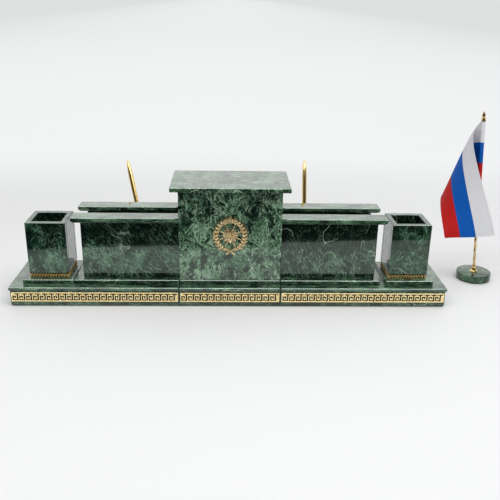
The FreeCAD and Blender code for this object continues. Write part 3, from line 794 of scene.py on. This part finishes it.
def makeFlag():
    clearSelection()
    bpy.ops.mesh.primitive_grid_add(
        x_subdivisions=flag["alongCuts"], y_subdivisions=flag["acrossCuts"], size=2)
    cloth = namePiece(bpy.context.object, "flag_satin")
    rows = []
    for row in range(flag["acrossCuts"] + 1):
        rows.append(evenly(flagThread(1 - row / flag["acrossCuts"]), flag["alongCuts"]))
    lift = Matrix.Translation((0, 0, flag["top"]))
    for vert in cloth.data.vertices:
        row = round((vert.co.y + 1) / 2 * flag["acrossCuts"])
        column = round((vert.co.x + 1) / 2 * flag["alongCuts"])
        vert.co = standMatrix @ ((lift @ rows[row][column]) * mm)
    applyModifier(cloth, "SOLIDIFY", thickness=flag["thick"] * mm, offset=0.0)
    smoothPiece(cloth, angle=60)
    dress(cloth, flagFinish(), "flag", ["flag_cloth"])


makeFlag()
print("flag hung")


# Rope bands round the feet of the cups: a flat strip with slanted half-round strands

rope = {"strip": 0.6, "stripSunk": 0.7, "stripEdge": 0.12, "stripSegments": 1, "strandAcross": 2.7,
        "strandDeep": 1.0, "strandTall": 4.2, "strandCut": 2.45, "strandSides": 10, "strandRings": 7,
        "pitch": 4.6, "slant": {"left": -36.0, "right": 36.0}}


def makeStrand(slant):
    clearSelection()
    bpy.ops.mesh.primitive_uv_sphere_add(
        segments=rope["strandSides"], ring_count=rope["strandRings"], radius=1.0)
    strand = namePiece(bpy.context.object, "strand")
    strand.scale = (rope["strandAcross"] / 2 * mm, rope["strandDeep"] * mm, rope["strandTall"] * mm)
    settle(strand)
    openEdit(strand)
    bpy.ops.transform.rotate(value=math.radians(slant), orient_axis="Y", center_override=(0, 0, 0))
    bpy.ops.mesh.bisect(plane_co=(0, 0, 0), plane_no=(0, 1, 0), clear_outer=True, use_fill=True)
    for way in (-1, 1):
        bpy.ops.mesh.select_all(action="SELECT")
        bpy.ops.mesh.bisect(plane_co=(0, 0, way * rope["strandCut"] * mm), plane_no=(0, 0, way),
                            clear_outer=True, use_fill=True)
    bpy.ops.object.mode_set(mode="OBJECT")
    smoothPiece(strand, angle=50)
    return strand


def makeStrip(name, inner, height):
    # a square frame drawn up to a thin wall behind the strands
    clearSelection()
    bpy.ops.mesh.primitive_plane_add(size=2)
    strip = namePiece(bpy.context.object, name)
    strip.scale = (inner, inner, 1)
    settle(strip)
    openEdit(strip)
    bpy.ops.mesh.inset(thickness=rope["strip"] * mm)
    bpy.ops.mesh.delete(type="FACE")
    bpy.ops.mesh.select_all(action="SELECT")
    bpy.ops.mesh.extrude_region_move(TRANSFORM_OT_translate={"value": (0, 0, height)})
    bpy.ops.mesh.select_all(action="SELECT")
    bpy.ops.mesh.normals_make_consistent(inside=False)
    bpy.ops.object.mode_set(mode="OBJECT")
    softenEdges(strip, rope["stripEdge"] * mm, rope["stripSegments"])
    return strip


def makeBands():
    finish, shade = brassFinish("ropeBrass", "rope"), brassFinish("ropePaintedShade", "shade")
    for side in ("left", "right"):
        low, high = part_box(side + "_cup_band")
        middle = (low + high) / 2
        half = (high - low) / 2
        inner = half.x - rope["stripSunk"] * mm
        strip = makeStrip(side + "_strip", inner, half.z * 2)
        settle(strip, Matrix.Translation((middle.x, middle.y, low.z)))
        backing = len(strip.data.polygons)
        strand = makeStrand(rope["slant"][side])
        count = round(2 * half.x / (rope["pitch"] * mm))
        strands = []
        for turn in range(4):
            for number in range(count):
                along = (number + 0.5) / count * 2 * half.x - half.x
                copy = copyPiece(strand, "strand_copy")
                place = Matrix.Translation(middle) @ Matrix.Rotation(turn * math.pi / 2, 4, "Z")
                settle(copy, place @ Matrix.Translation((along, -inner, 0)))
                strands.append(copy)
        bpy.data.objects.remove(strand)
        band = joinPieces([strip] + strands, side + "_rope_band")
        dress(band, finish, "desk_set", [side + "_cup_band"])
        # painted shade: the strip behind the strands gets a darker brass, for the shade in the gaps between
        # them
        band.data.materials.append(shade)  # the strip behind the strands is darker
        for face in band.data.polygons[:backing]:
            face.material_index = 1


makeBands()
print("rope bands made")


# Ornament on the tower: open wreath of leaves on a stem, rosette with rays that reach the stem, bow

ornament = {
    "centre": (0.0, -41.7, 120.0), "half": (28.4, 30.9), "ringInset": 5.4, "level": 1.3, "pairs": 11,
    "splay": 34.0, "open": 12.0, "foot": 30.0, "petals": 8, "bowDrop": 25.2, "bowTurns": (8, 172),
    "tailTurns": (-48, -132), "stem": 0.95, "stemSteps": 96, "stemSides": 8,
    # how far parts lie above or below the others, and how far out they start
    "innerLift": 0.5, "petalOut": 1.2, "rayLift": -0.3, "rayOut": 2.5, "heartLift": 0.8, "heartOut": 0.9,
    "bowOut": 0.4,
    "boss": [(0, 0), (3.2, 0), (3.4, 2.6), (3.0, 3.4), (2.4, 3.7), (1.9, 3.4), (1.5, 3.8), (0.8, 4.3),
             (0, 4.45)],
    "knot": [(0, 0), (2.4, 0), (2.5, 2.2), (1.9, 3.4), (0.8, 3.9), (0, 4.0)],
    "bossSteps": 40, "knotSteps": 32,
}
leafShapes = {  # length, width, rise, share of the length where it is widest
    "leaf": (10.2, 4.6, 1.5, 0.42), "petal": (12.4, 5.4, 1.7, 0.62), "inner": (7.6, 3.6, 1.5, 0.6),
    "ray": (21.5, 2.7, 1.3, 0.5), "bow": (12.5, 6.0, 1.8, 0.62), "tail": (11.0, 4.6, 1.4, 0.55),
}
leafForm = {"columns": 10, "rows": 6, "tip": 0.02, "crown": 0.75, "crownFrom": 0.12, "crownSpan": 0.80,
            "rib": 0.22, "rim": 0.30, "rimShare": 0.96, "thick": 0.9,
            "columnSlack": 0.01, "ribSlack": 0.002, "rimSlack": 1e-4}


def leafSpread(place, belly):
    # share of the full width at that share of the length
    spread = math.sin(math.pi * max(place, 0.0) ** (math.log(0.5) / math.log(belly)))
    return max(spread, leafForm["tip"])


def makeLeaf(name):
    # a grid drawn to a leaf: columns narrowed to the outline, midrib sunk, edges turned down
    length, width, rise, belly = leafShapes[name]
    clearSelection()
    bpy.ops.mesh.primitive_grid_add(
        x_subdivisions=leafForm["columns"], y_subdivisions=leafForm["rows"], size=1)
    leaf = namePiece(bpy.context.object, name)
    openEdit(leaf)
    bpy.ops.transform.translate(value=(0.5, 0, 0))
    for column in range(leafForm["columns"] + 1):
        place = column / leafForm["columns"]
        chooseVerts(leaf, lambda co: abs(co.x - place) < leafForm["columnSlack"])
        bpy.ops.transform.resize(value=(1, leafSpread(place, belly), 1), center_override=(place, 0, 0))
        crown = math.sin(math.pi * (leafForm["crownFrom"] + leafForm["crownSpan"] * place))
        bpy.ops.transform.translate(value=(0, 0, crown * leafForm["crown"]))
    chooseVerts(leaf, lambda co: abs(co.y) < leafForm["ribSlack"])
    bpy.ops.transform.translate(value=(0, 0, -leafForm["rib"]))
    chooseVerts(leaf, lambda co: abs(co.y) > (
        0.5 * leafForm["rimShare"] * leafSpread(co.x, belly) - leafForm["rimSlack"]))
    bpy.ops.transform.translate(value=(0, 0, -leafForm["rim"]))
    bpy.ops.object.mode_set(mode="OBJECT")
    leaf.scale = (length * mm, width * mm, rise * mm)
    settle(leaf)
    applyModifier(leaf, "SOLIDIFY", thickness=leafForm["thick"] * mm, offset=-1.0)
    applyModifier(leaf, "SUBSURF", levels=1, render_levels=1)
    smoothPiece(leaf, angle=70)
    return leaf


def makeOrnament():
    halfX, halfZ = ornament["half"]
    ringX, ringZ = halfX - ornament["ringInset"], halfZ - ornament["ringInset"]
    level = ornament["level"]
    leaves = {name: makeLeaf(name) for name in leafShapes}
    parts = []

    def lay(name, x, z, turn, lift=0.0, out=0.0):
        copy = copyPiece(leaves[name], "ornament_part")
        place = Matrix.Translation(Vector((x, z, level + lift)) * mm)
        place = place @ Matrix.Rotation(math.radians(turn), 4, "Z")
        settle(copy, place @ Matrix.Translation((out * mm, 0, 0)))
        parts.append(copy)

    sweep = 180 - ornament["open"] - ornament["foot"]
    for number in range(ornament["pairs"]):
        angle = math.radians(ornament["foot"] - 90 + sweep * number / (ornament["pairs"] - 1))
        x, z = ringX * math.cos(angle), ringZ * math.sin(angle)
        heading = math.degrees(math.atan2(ringZ * math.cos(angle), -ringX * math.sin(angle)))
        for splay in (-ornament["splay"], ornament["splay"]):
            lay("leaf", x, z, heading + splay)
            lay("leaf", -x, z, 180 - heading - splay)
        lay("inner", x, z, heading, ornament["innerLift"])
        lay("inner", -x, z, 180 - heading, ornament["innerLift"])
    for number in range(ornament["petals"]):
        turn = 360 * number / ornament["petals"]
        between = turn + 180 / ornament["petals"]
        lay("petal", 0, 0, turn, out=ornament["petalOut"])
        lay("ray", 0, 0, between, ornament["rayLift"], ornament["rayOut"])
        lay("inner", 0, 0, between, ornament["heartLift"], ornament["heartOut"])
    drop = -ornament["bowDrop"]
    for name, turns in (("bow", ornament["bowTurns"]), ("tail", ornament["tailTurns"])):
        for turn in turns:
            lay(name, 0, drop, turn, out=ornament["bowOut"])
    for leaf in leaves.values():
        bpy.data.objects.remove(leaf)

    boss = turnedPiece("boss", ornament["boss"], ornament["bossSteps"])
    knot = turnedPiece("knot", ornament["knot"], ornament["knotSteps"])
    settle(knot, Matrix.Translation((0, drop * mm, 0)))
    clearSelection()
    bpy.ops.mesh.primitive_torus_add(
        major_segments=ornament["stemSteps"], minor_segments=ornament["stemSides"], major_radius=1.0,
        minor_radius=ornament["stem"] / ringX)
    stem = namePiece(bpy.context.object, "wreath_stem")
    stem.scale = (ringX * mm, ringZ * mm, ringX * mm)
    settle(stem, Matrix.Translation((0, 0, level * mm)))
    smoothPiece(stem, angle=70)
    relief = joinPieces([stem] + parts + [boss, knot], "wreath_relief")
    stood = Matrix.Translation(Vector(ornament["centre"]) * mm) @ Matrix.Rotation(math.radians(90), 4, "X")
    settle(relief, stood)
    dress(relief, brassFinish("reliefGold", "relief"), "desk_set", ["emblem"])


makeOrnament()
print("ornament made")


# Floor, lamps and surroundings: white paper that ends in front of the set as polished faces see it,
# soft light from above

paper = {
    "size": 120.0, "level": -0.0002, "edge": -0.295, "slant": 5.0, "colour": (0.872, 0.876, 0.880),
    "shade": 0.99, "cloud": 3.0, "rough": 0.55, "gloss": 0.2,
    # far from the set the paper is an even white to the eye, with painted shade: a little darker farther
    # off and to both sides
    "fade": (0.40, 1.1), "glow": (0.985, 0.995, 1.0, 1.0), "backdrop": 0.905, "dim": 0.05,
    "dimEdge": (1.0, 9.0), "corner": 0.006, "darkest": 0.75, "acrossShare": 0.25,
}
surroundings = {
    "ambient": 0.50, "seen": (1.06, 1.075, 1.065), "backdrop": (0.739, 0.746, 0.750),
    "room": (0.08, 0.085, 0.085), "roomEdge": (0.15, -0.30),  # dim room behind the camera
    "below": (0.012, 0.016, 0.014), "horizon": (-0.03, 0.06),
}
lamps = {
    "overhead": {"power": 7.6, "size": (2.4, 1.4), "place": (0.50, -0.05, 1.6), "aim": (0.1, 0.0, 0.0)},
    "lowStrip": {"power": 7.2, "size": (2.6, 0.14), "place": (0.0, -0.755, 1.6), "aim": (0.0, 0.0, 0.1)},
    "highStrip": {"power": 6.4, "size": (2.6, 0.13), "place": (0.0, -0.48, 1.6), "aim": (0.0, 0.0, 0.1)},
    "fill": {"power": 6.8, "size": (2.6, 1.4), "place": (-0.7, -2.1, 1.3), "aim": (0.1, 0.0, 0.1),
             "mirrored": False},
}


def paperFinish(name):
    f = newFinish(name)
    where = f.place()
    tone = f.noise(where, paper["cloud"], detail=3.0, rough=0.5)
    colour = f.mix(tone, tuple(c * paper["shade"] for c in paper["colour"]), paper["colour"])
    sheet = f.add("ShaderNodeBsdfPrincipled", None, {
        "Base Color": colour, "Roughness": paper["rough"], "Specular IOR Level": paper["gloss"]})
    across, away = (f.axis(where, letter) for letter in "XY")
    distance = (across * across * paper["acrossShare"] + away * away) ** 0.5
    # painted shade: the glow is dimmed far off and towards both sides
    bright = paper["backdrop"] - f.smooth(distance, *paper["dimEdge"]) * paper["dim"]
    bright = (bright - across * across * paper["corner"]).math("MAXIMUM", paper["darkest"])
    far = f.smooth(distance, *paper["fade"]) * f.add("ShaderNodeLightPath", output="Is Camera Ray")
    glow = f.add("ShaderNodeEmission", None, {"Color": paper["glow"], "Strength": bright})
    f.add("ShaderNodeOutputMaterial", None, {
        "Surface": f.add("ShaderNodeMixShader", None, {0: far, 1: sheet, 2: glow})})
    return f.target


def makeFloor():
    finish = paperFinish("paper")
    for name, front in (("floor_back", False), ("floor_front", True)):
        clearSelection()
        bpy.ops.mesh.primitive_plane_add(size=paper["size"], location=(0, 0, paper["level"]))
        floor = settle(namePiece(bpy.context.object, name))
        openEdit(floor)
        slant = math.radians(paper["slant"])
        normal = Vector((math.sin(slant), math.cos(slant), 0))
        bpy.ops.mesh.bisect(plane_co=(0, paper["edge"], 0), plane_no=normal, clear_outer=front,
                            clear_inner=not front)
        bpy.ops.object.mode_set(mode="OBJECT")
        dress(floor, finish)
        floor.visible_glossy = not front


def makeLamps():
    for name, values in lamps.items():
        lamp = bpy.data.lights.new(name + "Softbox", "AREA")
        lamp.shape = "RECTANGLE"
        lamp.size, lamp.size_y = values["size"]
        lamp.energy = values["power"]
        holder = bpy.data.objects.new(name + "Softbox", lamp)
        holder.location = values["place"]
        heading = Vector(values["aim"]) - Vector(values["place"])
        holder.rotation_euler = heading.to_track_quat("-Z", "Y").to_euler()
        holder.visible_glossy = values.get("mirrored", True)
        bpy.context.scene.collection.objects.link(holder)


def makeWorld():
    world = bpy.data.worlds.new("studio")
    bpy.context.scene.world = world
    f = Finish(world)
    fromCamera, fromGloss = (f.add("ShaderNodeLightPath", output=name) for name in (
        "Is Camera Ray", "Is Glossy Ray"))
    heading = f.add("ShaderNodeTexCoord", output="Generated")
    away, height = (f.axis(heading, letter) for letter in "YZ")
    seen = f.mix(f.smooth(away, *surroundings["roomEdge"]), surroundings["seen"], surroundings["room"])
    seen = f.mix(f.smooth(height, *surroundings["horizon"]), surroundings["below"], seen)
    colour = f.mix(fromGloss, (surroundings["ambient"],) * 3, seen)
    colour = f.mix(fromCamera, colour, surroundings["backdrop"])
    light = f.add("ShaderNodeBackground", None, {"Color": colour})
    f.add("ShaderNodeOutputWorld", None, {"Surface": light})


makeFloor()
makeLamps()
makeWorld()
print("studio set")
